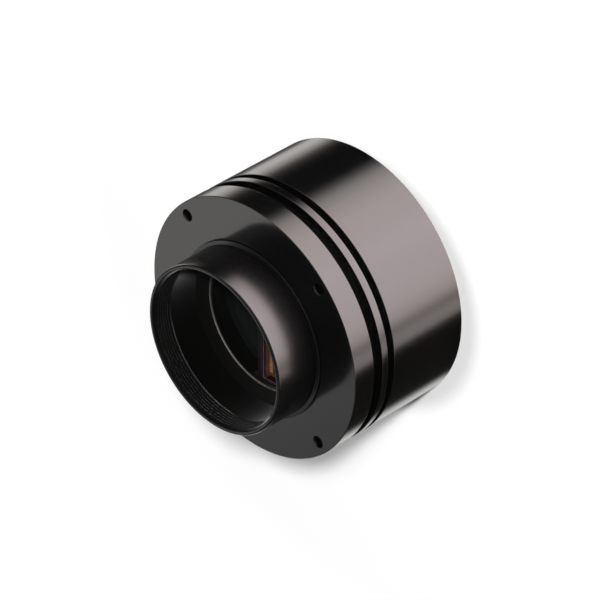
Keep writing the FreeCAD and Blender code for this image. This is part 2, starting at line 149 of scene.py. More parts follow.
bloomSpread = 0.32  # how far the matt sheen reaches in from a grazing view
turnedSkin = {
    # dyed oxide skin over fine turning: bands of light keep a soft edge, and the skin is never quite even
    "blackAnodisedTurned": {
        "deep": "050505",
        "worn": "090808",
        "ior": 1.6,
        "roughness": 0.13,
        "spread": 0.02,
        "cloud": 14.0,
        "pitch": 0.22,  # feed marks are nearer 0.06 mm, too fine to show
        "depth": 0.00012,
        "bloom": 0.0,
    },
    # the neck is gripped and wiped when lenses are changed, so its light lies softer
    "blackAnodisedHandled": {
        "deep": "050505",
        "worn": "0a0909",
        "ior": 1.6,
        "roughness": 0.22,
        "spread": 0.03,
        "cloud": 7.0,
        "pitch": 0.22,
        "depth": 0.0002,
        "bloom": 0.0,
    },
    # the bore is left coarser and matt, so it drinks light and shows only a grey sheen when seen flat on
    "blackAnodisedMattBore": {
        "deep": "030303",
        "worn": "070706",
        "ior": 1.38,
        "roughness": 0.5,
        "spread": 0.06,
        "cloud": 9.0,
        "pitch": 0.3,  # true to the coarser feed of a boring bar
        "depth": 0.003,
        "bloom": 0.65,
    },
    # the thread is cut cleaner, and its flanks lose most of that sheen
    "blackAnodisedThread": {
        "deep": "050505",
        "worn": "0a0a09",
        "ior": 1.38,
        "roughness": 0.55,
        "spread": 0.05,
        "cloud": 9.0,
        "pitch": 0.3,
        "depth": 0.001,
        "bloom": 0.22,
    },
}


def turnedMaterial(name):
    t = turnedSkin[name]
    material, tree = newMaterial(name)
    coords = addNode(tree, "ShaderNodeTexCoord")
    rings = addNode(
        tree, "ShaderNodeTexNoise", grainOf(ringVector(tree, coords), t["pitch"], 3.0), noise_dimensions="2D"
    )
    clouds = addNode(tree, "ShaderNodeTexNoise", grainOf(coords.outputs["Object"], t["cloud"], 4.0))
    cloud = clouds.outputs["Fac"]
    smooth, rough = t["roughness"] - t["spread"], t["roughness"] + t["spread"]
    roughness = addNode(tree, "ShaderNodeMapRange", {"Value": cloud, "To Min": smooth, "To Max": rough})
    tones = {0: cloud, 6: linear(t["deep"]), 7: linear(t["worn"])}
    colour = addNode(tree, "ShaderNodeMix", tones, data_type="RGBA")
    relief = {"Height": rings.outputs["Fac"], "Distance": t["depth"] * mm, "Strength": 1.0}
    marks = addNode(tree, "ShaderNodeBump", relief)
    shader = addNode(
        tree,
        "ShaderNodeBsdfPrincipled",
        {
            "Base Color": colour.outputs[2],
            "Roughness": roughness.outputs[0],
            "IOR": t["ior"],
            "Sheen Weight": t["bloom"],
            "Sheen Roughness": bloomSpread,
            "Normal": marks.outputs[0],
        },
    )
    return finishMaterial(material, shader)


# dark and light tone, grain in mm, roughness from and to, relief in mm, metallic
grained = {
    # soft moulded skin with bloom
    "nitrileRubber": ("0c0c0c", "191919", 0.35, 0.55, 0.75, 0.006, 0.0),
    # oiled oxide, brighter where worn
    "blackenedSteel": ("131313", "242322", 0.25, 0.22, 0.42, 0.002, 0.9),
    # dark violet-brown fired ceramic, sandy and dull
    "firedAlumina": ("110c0d", "211a1d", 0.12, 0.35, 0.55, 0.002, 0.0),
    # thin gold print that lets the ceramic through
    "goldShelf": ("5a3b1f", "7a5630", 0.1, 0.4, 0.55, 0.002, 0.2),
    # frosted chamfer that holds a pale line
    "groundGlassEdge": ("433c42", "635a62", 0.1, 0.5, 0.7, 0.002, 0.0),
    # pale matt gold for wire bonding
    "bondGold": ("a5835b", "cfb187", 0.15, 0.35, 0.5, 0.002, 0.35),
    # light metal where a last cut broke the skin
    "bareTurnedEdge": ("9c9795", "c9c4c2", 0.15, 0.25, 0.4, 0.001, 0.9),
    # matt gold over etched metal
    "goldPlate": ("a86f22", "cf9440", 0.2, 0.2, 0.38, 0.001, 1.0),
    # fired tan body
    "ceramicCapacitor": ("5c4a36", "7d654a", 0.15, 0.3, 0.5, 0.002, 0.0),
    # filler grains in black epoxy
    "mouldedEpoxy": ("101010", "1c1c1b", 0.08, 0.45, 0.65, 0.003, 0.0),
    # bright bar stock
    "turnedBrass": ("8a6a33", "b8924e", 0.3, 0.18, 0.35, 0.002, 1.0),
    # dull drawn can
    "tinPlatedCan": ("8f9190", "b4b6b5", 0.4, 0.22, 0.38, 0.002, 1.0),
    # bluish plating with faint mottle
    "zincSteel": ("84868a", "a9abad", 0.3, 0.25, 0.42, 0.002, 1.0),
    # pressed powder, no shine
    "sinteredFerrite": ("17181a", "26272a", 0.1, 0.5, 0.7, 0.004, 0.0),
    # flow marks in glass-filled resin
    "liquidCrystalPolymer": ("141414", "222120", 0.18, 0.38, 0.55, 0.002, 0.0),
    # warm plating, softly brushed
    "brushedNickel": ("8f8a80", "b5afa4", 0.5, 0.2, 0.36, 0.0015, 1.0),
    # yellowish potting over a small die
    "siliconeLamp": ("c9b878", "e3d9a8", 0.2, 0.3, 0.5, 0.002, 0.0),
}


broadGrain = 18  # broad clouds, as a multiple of the fine grain
toneRange = (0.12, 0.42)  # product of both noises that runs from the dark tone to the light one


def grainedMaterial(name):
    dark, light, grain, smooth, rough, relief, metallic = grained[name]
    material, tree = newMaterial(name)
    coords = addNode(tree, "ShaderNodeTexCoord")
    place = coords.outputs["Object"]
    fine = addNode(tree, "ShaderNodeTexNoise", grainOf(place, grain, 5.0)).outputs["Fac"]
    broad = addNode(tree, "ShaderNodeTexNoise", grainOf(place, grain * broadGrain, 3.0)).outputs["Fac"]
    both = addNode(tree, "ShaderNodeMath", {0: fine, 1: broad}, operation="MULTIPLY")
    span = {"Value": both.outputs[0], "From Min": toneRange[0], "From Max": toneRange[1]}
    tone = addNode(tree, "ShaderNodeMapRange", span)
    tones = {0: tone.outputs[0], 6: linear(dark), 7: linear(light)}
    colour = addNode(tree, "ShaderNodeMix", tones, data_type="RGBA")
    roughness = addNode(tree, "ShaderNodeMapRange", {"Value": broad, "To Min": smooth, "To Max": rough})
    grit = addNode(tree, "ShaderNodeBump", {"Height": fine, "Distance": relief * mm, "Strength": 1.0})
    shader = addNode(
        tree,
        "ShaderNodeBsdfPrincipled",
        {
            "Base Color": colour.outputs[2],
            "Roughness": roughness.outputs[0],
            "Metallic": metallic,
            "IOR": plainIor,
            "Normal": grit.outputs[0],
        },
    )
    return finishMaterial(material, shader)


board = {
    "mask": "090a0a",
    "track": "141616",
    "trackPitch": 1.1,  # real tracks are nearer 0.3 mm
    "trackHeight": 0.012,
    "rise": 0.6,
    "gap": 0.06,
    "gapSoft": 0.3,
    "brick": (4.0, 0.6),
    "cloud": 6.0,
    "roughness": (0.3, 0.46),
}


def blackSolderMask():
    # matt black lacquer with tracks that stand up under it
    b = board
    material, tree = newMaterial("blackSolderMask")
    coords = addNode(tree, "ShaderNodeTexCoord")
    tracks = addNode(
        tree,
        "ShaderNodeTexBrick",
        {
            "Vector": coords.outputs["Object"],
            "Color1": (1, 1, 1, 1),
            "Color2": (0.7, 0.7, 0.7, 1),
            "Mortar": (0, 0, 0, 1),
            "Scale": 1 / (b["trackPitch"] * mm),
            "Mortar Size": b["gap"],
            "Mortar Smooth": b["gapSoft"],
            "Brick Width": b["brick"][0],
            "Row Height": b["brick"][1],
        },
    )
    clouds = addNode(tree, "ShaderNodeTexNoise", grainOf(coords.outputs["Object"], b["cloud"], 4.0))
    smooth, rough = b["roughness"]
    span = {"Value": clouds.outputs["Fac"], "To Min": smooth, "To Max": rough}
    roughness = addNode(tree, "ShaderNodeMapRange", span)
    tones = {0: tracks.outputs["Fac"], 6: linear(b["track"]), 7: linear(b["mask"])}
    colour = addNode(tree, "ShaderNodeMix", tones, data_type="RGBA")
    relief = {"Height": tracks.outputs["Color"], "Distance": b["trackHeight"] * mm, "Strength": b["rise"]}
    height = addNode(tree, "ShaderNodeBump", relief)
    shader = addNode(
        tree,
        "ShaderNodeBsdfPrincipled",
        {
            "Base Color": colour.outputs[2],
            "Roughness": roughness.outputs[0],
            "IOR": plainIor,
            "Normal": height.outputs[0],
        },
    )
    return finishMaterial(material, shader)


silicon = {
    "field": "17110f",
    "edge": "2b211d",
    "line": "4a3b4a",
    "lineWidth": 0.09,
    "padFrom": 0.38,
    "padPitch": 0.6,
    "padShare": 0.1,
    "cloud": 2.0,
    "roughness": (0.04, 0.1),
    "ior": 1.9,
}


def polishedSilicon():
    # dark mirror with the row of light cells as one violet line, and bond pads in a row along both edges
    s = silicon
    material, tree = newMaterial("polishedSilicon")
    coords = addNode(tree, "ShaderNodeTexCoord")
    split = addNode(tree, "ShaderNodeSeparateXYZ", {0: coords.outputs["Object"]})
    off = addNode(tree, "ShaderNodeMath", {0: split.outputs["X"]}, operation="ABSOLUTE")
    row = addNode(tree, "ShaderNodeMath", {0: off.outputs[0], 1: s["lineWidth"] * mm}, operation="LESS_THAN")
    outer = addNode(tree, "ShaderNodeMath", {0: off.outputs[0], 1: s["padFrom"] * mm}, operation="GREATER_THAN")
    turnsPerMetre = 2 * math.pi / (s["padPitch"] * mm)
    along = addNode(tree, "ShaderNodeMath", {0: split.outputs["Y"], 1: turnsPerMetre}, operation="MULTIPLY")
    wave = addNode(tree, "ShaderNodeMath", {0: along.outputs[0]}, operation="SINE")
    pads = addNode(tree, "ShaderNodeMath", {0: wave.outputs[0], 1: s["padShare"]}, operation="GREATER_THAN")
    edge = addNode(tree, "ShaderNodeMath", {0: outer.outputs[0], 1: pads.outputs[0]}, operation="MULTIPLY")
    clouds = addNode(tree, "ShaderNodeTexNoise", grainOf(coords.outputs["Object"], s["cloud"], 3.0))
    smooth, rough = s["roughness"]
    span = {"Value": clouds.outputs["Fac"], "To Min": smooth, "To Max": rough}
    roughness = addNode(tree, "ShaderNodeMapRange", span)
    tones = {0: edge.outputs[0], 6: linear(s["field"]), 7: linear(s["edge"])}
    withPads = addNode(tree, "ShaderNodeMix", tones, data_type="RGBA")
    tones = {0: row.outputs[0], 6: withPads.outputs[2], 7: linear(s["line"])}
    colour = addNode(tree, "ShaderNodeMix", tones, data_type="RGBA")
    shader = addNode(
        tree,
        "ShaderNodeBsdfPrincipled",
        {
            "Base Color": colour.outputs[2],
            "Roughness": roughness.outputs[0],
            "IOR": s["ior"],
        },
    )
    return finishMaterial(material, shader)


glassSettings = {"tint": "f3f1f6", "haze": (0.02, 0.08), "wipes": 3.0, "ior": 1.45}
guideSettings = {"tint": "e9ebe6", "haze": (0.12, 0.3), "wipes": 0.6, "ior": 1.49}


def wipeMarks(tree, g):
    # faint wipe marks in the haze keep a clear piece from looking empty
    coords = addNode(tree, "ShaderNodeTexCoord")
    wipes = addNode(tree, "ShaderNodeTexNoise", grainOf(coords.outputs["Object"], g["wipes"], 4.0))
    smooth, rough = g["haze"]
    span = {"Value": wipes.outputs["Fac"], "To Min": smooth, "To Max": rough}
    return addNode(tree, "ShaderNodeMapRange", span).outputs[0]


def clearMaterial(name, g):
    material, tree = newMaterial(name)
    shader = addNode(
        tree,
        "ShaderNodeBsdfPrincipled",
        {
            "Base Color": linear(g["tint"]),
            "Roughness": wipeMarks(tree, g),
            "IOR": g["ior"],
            "Transmission Weight": 1.0,
        },
    )
    return finishMaterial(material, shader)


def thinGlass(name, g):
    # a pane too thin to bend light: it lets it straight through and mirrors a little, more at a slant
    material, tree = newMaterial(name)
    tint = linear(g["tint"])
    through = addNode(tree, "ShaderNodeBsdfTransparent", {"Color": tint})
    mirror = addNode(tree, "ShaderNodeBsdfGlossy", {"Color": tint, "Roughness": wipeMarks(tree, g)})
    fresnel = addNode(tree, "ShaderNodeFresnel", {"IOR": g["ior"]})
    side = addNode(tree, "ShaderNodeNewGeometry")
    front = addNode(tree, "ShaderNodeMath", {0: 1.0, 1: side.outputs["Backfacing"]}, operation="SUBTRACT")
    share = addNode(tree, "ShaderNodeMath", {0: fresnel.outputs[0], 1: front.outputs[0]}, operation="MULTIPLY")
    parts = {0: share.outputs[0], 1: through.outputs[0], 2: mirror.outputs[0]}
    return finishMaterial(material, addNode(tree, "ShaderNodeMixShader", parts))


blackAnodise = turnedMaterial("blackAnodisedTurned")
handled = turnedMaterial("blackAnodisedHandled")
mattBore = turnedMaterial("blackAnodisedMattBore")
cutThread = turnedMaterial("blackAnodisedThread")
slotMaterials = {
    "black_anodise": blackAnodise,
    "seal_rubber": grainedMaterial("nitrileRubber"),
    "black_steel": grainedMaterial("blackenedSteel"),
    "ceramic": grainedMaterial("firedAlumina"),
    "gold": grainedMaterial("goldPlate"),
    "silicon": polishedSilicon(),
    "clear_glass": thinGlass("coatedGlass", glassSettings),
    "board": blackSolderMask(),
    "capacitor": grainedMaterial("ceramicCapacitor"),
    "chip_plastic": grainedMaterial("mouldedEpoxy"),
    "spacer_brass": grainedMaterial("turnedBrass"),
    "oscillator_can": grainedMaterial("tinPlatedCan"),
    "screw_steel": grainedMaterial("zincSteel"),
    "coil_ferrite": grainedMaterial("sinteredFerrite"),
    "connector_plastic": grainedMaterial("liquidCrystalPolymer"),
    "shell_nickel": grainedMaterial("brushedNickel"),
    "clear_plastic": clearMaterial("clearAcrylic", guideSettings),
    "lamp_body": grainedMaterial("siliconeLamp"),
}
for part in frame["record"]["subparts"]:
    for materialSlot in frame["nodes"][part["node"]].material_slots:
        materialSlot.material = slotMaterials[part["material_slot"]]
bondGold = grainedMaterial("bondGold")
for materialSlot in frame["nodes"]["sensor_gold"].material_slots:
    materialSlot.material = bondGold
print("materials made")


def meshObject(name, bm):
    mesh = bpy.data.meshes.new(name)
    bm.to_mesh(mesh)
    bm.free()
    made = bpy.data.objects.new(name, mesh)
    bpy.context.scene.collection.objects.link(made)
    return made


def makePiece(name, bm, slotName, *replaced, sharp=28, cutter=None):
    piece = meshObject(name, bm)
    piece.data.materials.append(slotMaterials[slotName])
    if cutter:
        tool = meshObject(name + "Cutter", cutter)
        carve = piece.modifiers.new("carve", "BOOLEAN")
        carve.operation = "DIFFERENCE"
        carve.solver = "EXACT"
        carve.object = tool
        solid = piece.evaluated_get(bpy.context.evaluated_depsgraph_get())
        carved = bpy.data.meshes.new_from_object(solid)
        piece.modifiers.clear()
        piece.data = carved
        bpy.data.objects.remove(tool)
    clean = bmesh.new()
    clean.from_mesh(piece.data)
    bmesh.ops.remove_doubles(clean, verts=clean.verts, dist=weld)
    bmesh.ops.delete(clean, geom=[v for v in clean.verts if not v.link_faces], context="VERTS")
    clean.to_mesh(piece.data)
    clean.free()
    for face in piece.data.polygons:
        face.use_smooth = True
    piece.data.set_sharp_from_angle(angle=math.radians(sharp))
    weighted = piece.modifiers.new("weighted", "WEIGHTED_NORMAL")
    weighted.keep_sharp = True
    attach(piece, "root")
    if replaced:
        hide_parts(*replaced)
    return piece


def bevel(bm, geom, amount, segments, affect):
    bmesh.ops.bevel(
        bm,
        geom=geom,
        offset=amount * mm,
        offset_type="OFFSET",
        segments=segments,
        profile=0.5,
        affect=affect,
        material=-1,
    )


def extrude(bm, faces, height):
    made = bmesh.ops.extrude_face_region(bm, geom=faces, use_keep_orig=True)["geom"]
    raised = [g for g in made if isinstance(g, bmesh.types.BMVert)]
    bmesh.ops.translate(bm, verts=raised, vec=(0, 0, height * mm))
    return raised


def turn(bm, points, rounds=(), steps=sides["body"], at=(0, 0)):
    # half section (radius, height) in millimetres; rounds holds (corner numbers, radius, segments)
    before = set(bm.verts)
    corners = [bm.verts.new((r * mm, 0, z * mm)) for r, z in points]
    closing = [] if points[0][0] == 0 else corners[:1]  # a section that starts on the axis stays open
    for a, b in zip(corners, corners[1:] + closing):
        bm.edges.new((a, b))
    for numbers, radius, segments in rounds:
        bevel(bm, [corners[i] for i in numbers], radius, segments, "VERTICES")
    section = [v for v in bm.verts if v not in before]
    wires = [e for e in bm.edges if not e.link_faces]
    bmesh.ops.spin(
        bm,
        geom=section + wires,
        cent=(0, 0, 0),
        axis=(0, 0, 1),
        angle=2 * math.pi,
        steps=steps,
        use_merge=True,
    )
    bmesh.ops.remove_doubles(bm, verts=[v for v in bm.verts if v not in before], dist=weld)
    fresh = [v for v in bm.verts if v not in before]
    bmesh.ops.recalc_face_normals(bm, faces=list({f for v in fresh for f in v.link_faces}))
    bmesh.ops.translate(bm, verts=fresh, vec=(at[0] * mm, at[1] * mm, 0))


def block(bm, size, x, y, low, edge=0.0):
    made = bmesh.ops.create_cube(bm, size=1.0)["verts"]
    bmesh.ops.scale(bm, verts=made, vec=[s * mm for s in size])
    bmesh.ops.translate(bm, verts=made, vec=(x * mm, y * mm, (low + size[2] / 2) * mm))
    if edge:
        bevel(bm, list({e for v in made for e in v.link_edges}), edge, 2, "EDGES")


def prism(bm, outline, low, high):
    face = bm.faces.new([bm.verts.new((x * mm, y * mm, low * mm)) for x, y in outline])
    raised = extrude(bm, [face], high - low)
    faces = {f for v in raised for f in v.link_faces} | {face}
    bmesh.ops.recalc_face_normals(bm, faces=list(faces))


def hexagon(acrossFlats, x, y):
    radius = acrossFlats / math.sqrt(3)
    angles = [math.radians(60 * i) for i in range(6)]
    return [(x + radius * math.cos(a), y + radius * math.sin(a)) for a in angles]


def fourPlaces(radius):
    half = radius * math.sqrt(0.5)
    return [(half, half), (-half, half), (-half, -half), (half, -half)]


def rod(radius, low, high):
    return [(0, low), (radius, low), (radius, high), (0, high)]


def flaredHole(wide, narrow, low, neck, high):
    under, above = low - cutOver, high + cutOver
    return [(0, under), (wide, under), (narrow, neck), (narrow, above), (0, above)]


housing = {
    "flangeThickness": 6.05,
    "frontGrooveWidth": 2.6,
    "landWidth": 2.0,
    "grooveDepth": 2.3,
    "edgeBreak": 0.2,
    "innerBreak": 0.08,
    "neckRadius": 21.0,
    "rimRound": 0.6,
    "rimInnerRound": 0.2,
    "shoulderRadius": 22.0,
    "shoulderHeight": 0.8,
    "threadMajor": 20.0,
    "threadMinor": 19.594,
    "threadPitch": 0.75,
    "threadCrest": 0.094,
    "threadLength": 5.6,
    "threadRunOut": 0.3,
    "flankAngle": 30,
    "ridgeFoot": 0.02,
    "ridgeStop": 0.2,
    "ridgeSteps": 128,
    "leadInDepth": 1.0,
    "leadInWidth": 0.45,
    "leadInRound": 0.06,
    "reliefRadius": 20.3,
    "webDrop": 1.6,
    "webConeHeight": 1.5,
    "webLipHeight": 1.1,
    "openingRadius": 17.2,
    "webEdgeBreak": 0.38,
    "chamberRadius": 19.0,
    "recessRadius": 26.35,
    "spigotRadius": 28.95,
    "holeCircle": 29.5,
    "holeRadius": 1.25,
    "holeDepth": 5.0,
    "holeBreak": 0.3,
    "holeRound": 0.05,
    "tapRadius": 1.05,
    "tapDepth": 3.6,
    "tapInset": 2.4,
    "slotGap": 0.8,
    "slotSide": 1.05,
    "slotStop": 0.02,
    "threadSkin": 0.4,
    "rimSkin": 0.1,
}


def drillTaps(cutter, low, depth, ring):
    for place in fourPlaces(ring):
        turn(cutter, rod(housing["tapRadius"], low - cutOver, low + depth), (), sides["small"], place)


def frontHousing():
    h = housing
    grooveTop = faceZ - h["flangeThickness"]
    landTop = grooveTop - h["frontGrooveWidth"]
    landBottom = landTop - h["landWidth"]
    grooveFloor = bodyRadius - h["grooveDepth"]
    webTop = faceZ - h["webDrop"]
    lipTop = webTop - h["webConeHeight"]
    webBottom = lipTop - h["webLipHeight"]
    threadEnd = mouthZ - h["threadLength"]
    leadEnd = mouthZ - h["leadInDepth"]
    flank = (h["threadMajor"] - h["threadMinor"]) * math.tan(math.radians(h["flankAngle"]))
    spigotEnd = bottom("front_housing")
    points = [
        (h["neckRadius"], mouthZ),
        (h["neckRadius"], faceZ + h["shoulderHeight"]),
        (h["shoulderRadius"], faceZ + h["shoulderHeight"]),
        (h["shoulderRadius"], faceZ),
        (bodyRadius, faceZ),
        (bodyRadius, grooveTop),
        (grooveFloor, grooveTop),
        (grooveFloor, landTop),
        (bodyRadius, landTop),
        (bodyRadius, landBottom),
        (grooveFloor, landBottom),
        (grooveFloor, tubeTop),
        (h["spigotRadius"], tubeTop),
        (h["spigotRadius"], spigotEnd),
        (h["recessRadius"], spigotEnd),
        (h["recessRadius"], boardSeat),
        (h["chamberRadius"], boardSeat),
        (h["chamberRadius"], webBottom),
        (h["openingRadius"], webBottom),
        (h["openingRadius"], lipTop),
        (h["reliefRadius"], webTop),
        (h["reliefRadius"], threadEnd - h["threadRunOut"]),
        (h["threadMajor"], threadEnd),
        (h["threadMajor"], leadEnd - flank),
        (h["threadMinor"], leadEnd),
        (h["threadMinor"] + h["leadInWidth"], mouthZ),
    ]
    bm = bmesh.new()
    rounds = (
        ((0,), h["rimRound"], 6),
        ((2, 4, 5, 8, 9), h["edgeBreak"], 3),
        ((19,), h["webEdgeBreak"], 3),
        ((24,), h["leadInRound"], 2),
        ((25,), h["rimInnerRound"], 4),
        ((1, 3, 6, 7, 10, 11), h["innerBreak"], 2),
    )
    turn(bm, points, rounds)
    cutter = bmesh.new()
    drill = [
        (0, faceZ - h["holeDepth"]),
        (h["holeRadius"], faceZ - h["holeDepth"]),
        (h["holeRadius"], faceZ - h["holeBreak"]),
        (h["holeRadius"] + h["holeBreak"] + cutOver, faceZ + cutOver),
        (0, faceZ + cutOver),
    ]
    for place in fourPlaces(h["holeCircle"]):
        turn(cutter, drill, (((2,), h["holeRound"], 2),), sides["hole"], place)
    drillTaps(cutter, boardSeat, h["tapDepth"], boardRadius - h["tapInset"])
    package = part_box("sensor_package")
    gap = h["slotGap"]  # also the radius of the slot's corners
    centreX, centreY = package[1].x / mm + h["slotSide"] - gap, package[1].y / mm
    slotCorners = []
    for signX, signY, first in ((1, 1, 0), (-1, 1, 90), (-1, -1, 180), (1, -1, 270)):
        for i in range(5):
            a = math.radians(first + 22.5 * i)
            slotCorners.append((signX * centreX + gap * math.cos(a), signY * centreY + gap * math.sin(a)))
    prism(cutter, slotCorners, boardSeat - cutOver, webBottom - h["slotStop"])
    piece = makePiece("frontHousing", bm, "black_anodise", "front_housing", cutter=cutter)
    for material in (mattBore, handled, grainedMaterial("bareTurnedEdge"), cutThread):
        piece.data.materials.append(material)
    webEdge = h["openingRadius"] + 2 * h["webEdgeBreak"]
    threadSide = h["threadMajor"] + h["threadSkin"]
    threadLow = threadEnd - h["threadRunOut"] - near
    boreTop = mouthZ - h["rimSkin"]
    for face in piece.data.polygons:
        radius, level = math.hypot(face.center.x, face.center.y) / mm, face.center.z / mm
        if lipTop - h["webEdgeBreak"] < level < lipTop + near and radius < webEdge:
            face.material_index = 3
        elif radius < threadSide and threadLow < level < boreTop:
            face.material_index = 4
        elif radius < h["reliefRadius"] + near and level < boreTop:
            face.material_index = 1
        elif radius < h["shoulderRadius"] and level > faceZ + near:
            face.material_index = 2
    return piece


def mountThread():
    # one ridge that climbs round the bore, with its foot sunk in the wall behind it
    h = housing
    low, high = mouthZ - h["threadLength"], mouthZ - h["leadInDepth"] - h["ridgeStop"]
    turns = (high - low) / h["threadPitch"]
    perTurn = h["ridgeSteps"]
    steps = int(turns * perTurn)
    height = h["threadMajor"] - h["threadMinor"] + h["ridgeFoot"]
    crest = h["threadCrest"] / 2
    deep = height * math.tan(math.radians(h["flankAngle"])) + crest
    section = [
        (h["threadMajor"] + h["ridgeFoot"], low - deep),
        (h["threadMinor"], low - crest),
        (h["threadMinor"], low + crest),
        (h["threadMajor"] + h["ridgeFoot"], low + deep),
    ]
    bm = bmesh.new()
    face = bm.faces.new([bm.verts.new((r * mm, 0, z * mm)) for r, z in section])
    bmesh.ops.spin(
        bm,
        geom=[face, *face.verts, *face.edges],
        cent=(0, 0, 0),
        axis=(0, 0, 1),
        dvec=(0, 0, h["threadPitch"] * mm / perTurn),
        angle=2 * math.pi * steps / perTurn,
        steps=steps,
        use_merge=False,
    )
    bmesh.ops.remove_doubles(bm, verts=bm.verts, dist=weld)
    bmesh.ops.recalc_face_normals(bm, faces=bm.faces)
    piece = makePiece("mountThread", bm, "black_anodise", sharp=70)
    piece.data.materials[0] = cutThread
    return piece


tube = {
    "wall": 3.5,
    "rearRim": 2.1,
    "ledgeHeight": 4.0,
    "ledgeGap": 0.1,
    "edgeBreak": 0.2,
    "seatRound": 0.1,
    "tapDepth": 3.6,
    "screwInset": 2.3,
}


def housingTube():
    t = tube
    low, high = bottom("housing_tube"), top("housing_tube")
    ledgeLow = top("cover_gasket")
    ledgeHigh = ledgeLow + t["ledgeHeight"]
    bore = bodyRadius - t["wall"]
    rearBore = bodyRadius - t["rearRim"]
    ledge = housing["recessRadius"] + t["ledgeGap"]
    points = [
        (bore, high),
        (bodyRadius, high),
        (bodyRadius, low),
        (rearBore, low),
        (rearBore, ledgeLow),
        (ledge, ledgeLow),
        (ledge, ledgeHigh),
        (bore, ledgeHigh),
    ]
    bm = bmesh.new()
    turn(bm, points, (((1, 2, 3), t["edgeBreak"], 3), ((4,), t["seatRound"], 2)))
    cutter = bmesh.new()
    drillTaps(cutter, ledgeLow, t["tapDepth"], coverRadius - t["screwInset"])
    return makePiece("housingTube", bm, "black_anodise", "housing_tube", cutter=cutter)


frontHousing()
mountThread()
housingTube()
print("turned pieces made")

rearFit = {"shellRadius": 5.4, "lightRadius": 1.25, "shellGap": 0.1, "lightGap": 0.05, "dataGap": 0.25}
dataSocket = {
    "mainWidth": 6.9,
    "sideWidth": 4.4,
    "bridge": 0.5,
    "bridgeDrop": 0.45,
    "height": 1.9,
    "corner": 0.55,
    "wall": 0.3,
    "lockSpacing": 15.4,
    "lockRadius": 0.8,
    "margin": 0.75,
    "lipRound": 0.08,
    "tongue": 0.5,
    "tongueRound": 0.06,
    "tongueRoot": 0.2,
    "base": 1.6,
    "baseGap": 0.01,
    "contacts": 5,
    "contactWidth": 0.3,
    "contactThickness": 0.1,
    "contactRound": 0.02,
}


def dataOutline():
    d = dataSocket
    total = d["mainWidth"] + d["bridge"] + d["sideWidth"]
    left, right = -total / 2, total / 2
    mainRight = left + d["mainWidth"]
    sideLeft = mainRight + d["bridge"]
    centre = middle("data_socket_shell").y
    low, high = centre - d["height"] / 2, centre + d["height"] / 2
    c = d["corner"]
    return [
        (left, low + c),
        (left + c, low),
        (mainRight - c, low),
        (mainRight, low + d["bridgeDrop"]),
        (sideLeft, low + d["bridgeDrop"]),
        (sideLeft + c, low),
        (right - c, low),
        (right, low + c),
        (right, high),
        (left, high),
    ]


def grown(outline, amount):
    # moves every side of the outline outwards by the same amount
    made = []
    count = len(outline)
    for i in range(count):
        before, here, after = (Vector(outline[(i + k) % count]) for k in (-1, 0, 1))
        first, second = (here - before).normalized(), (after - here).normalized()
        normalA, normalB = Vector((first.y, -first.x)), Vector((second.y, -second.x))
        corner = (normalA + normalB).normalized()
        made.append(tuple(here + corner * (amount / corner.dot(normalA))))
    return made


def socketPlace():
    centre = middle("io_socket_shell")
    return centre.x, centre.y


cover = {"edgeBreak": 0.2, "holeBreak": 0.12, "screwHole": 1.1, "sinkRadius": 2.0, "sinkDepth": 0.9}


def roundCutter(bm, radius, place, steps):
    b = cover["holeBreak"]
    turn(bm, flaredHole(radius + b + cutOver, radius, coverZ, coverZ + b, coverTop), (), steps, place)


def rearCover():
    c = cover
    bm = bmesh.new()
    turn(bm, rod(coverRadius, coverZ, coverTop), (((1, 2), c["edgeBreak"], 3),))
    cutter = bmesh.new()
    roundCutter(cutter, rearFit["shellRadius"] + rearFit["shellGap"], socketPlace(), sides["socketHole"])
    lamp = middle("status_light_guide")
    roundCutter(cutter, rearFit["lightRadius"] + rearFit["lightGap"], (lamp.x, lamp.y), sides["hole"])
    dataY = middle("data_socket_shell").y
    for side in (-1, 1):
        place = side * dataSocket["lockSpacing"] / 2, dataY
        roundCutter(cutter, dataSocket["lockRadius"], place, sides["coverHole"])
    dataHole = grown(dataOutline(), dataSocket["wall"] + rearFit["dataGap"])
    prism(cutter, dataHole, coverZ - cutOver, coverTop + cutOver)
    sink = flaredHole(c["sinkRadius"] + cutOver, c["screwHole"], coverZ, coverZ + c["sinkDepth"], coverTop)
    for place in fourPlaces(coverRadius - tube["screwInset"]):
        turn(cutter, sink, (), sides["coverHole"], place)
    return makePiece("rearCover", bm, "black_anodise", "rear_cover", cutter=cutter)


screw = {
    "head": 1.9,
    "shank": 1.0,
    "headDepth": 0.9,
    "socket": 1.3,
    "socketDepth": 0.8,
    "edge": 0.08,
    "tip": 0.2,
}


def coverScrews():
    s = screw
    low, high = bottom("cover_screws"), top("cover_screws")
    section = [(0, low), (s["head"], low), (s["shank"], low + s["headDepth"]), (s["shank"], high), (0, high)]
    bm, cutter = bmesh.new(), bmesh.new()
    for x, y in fourPlaces(coverRadius - tube["screwInset"]):
        turn(bm, section, (((1,), s["edge"], 2), ((3,), s["tip"], 2)), sides["hole"], (x, y))
        prism(cutter, hexagon(s["socket"], x, y), low - cutOver, low + s["socketDepth"])
    return makePiece("coverScrews", bm, "black_steel", "cover_screws", cutter=cutter)


socket = {
    "bore": 4.4,
    "shell": 5.4,
    "flange": 6.8,
    "insertFace": 3.4,
    "insert": 4.3,
    "collar": 5.3,
    "keyWidth": 1.2,
    "keyDepth": 0.7,
    "keyGap": 0.1,
    "keyEdge": 0.08,
    "pinCircle": 2.6,
    "pinRadius": 0.35,
    "pinTip": 0.28,
    "pinEnd": 0.1,
    "firstPin": 120,
    "pinHole": 0.4,
    "holeFlare": 0.28,
    "holeFlareDepth": 0.08,
    "pins": 6,
    "edge": 0.2,
    "boreEdge": 0.15,
    "rearEdge": 0.1,
    "insertEdge": 0.12,
}


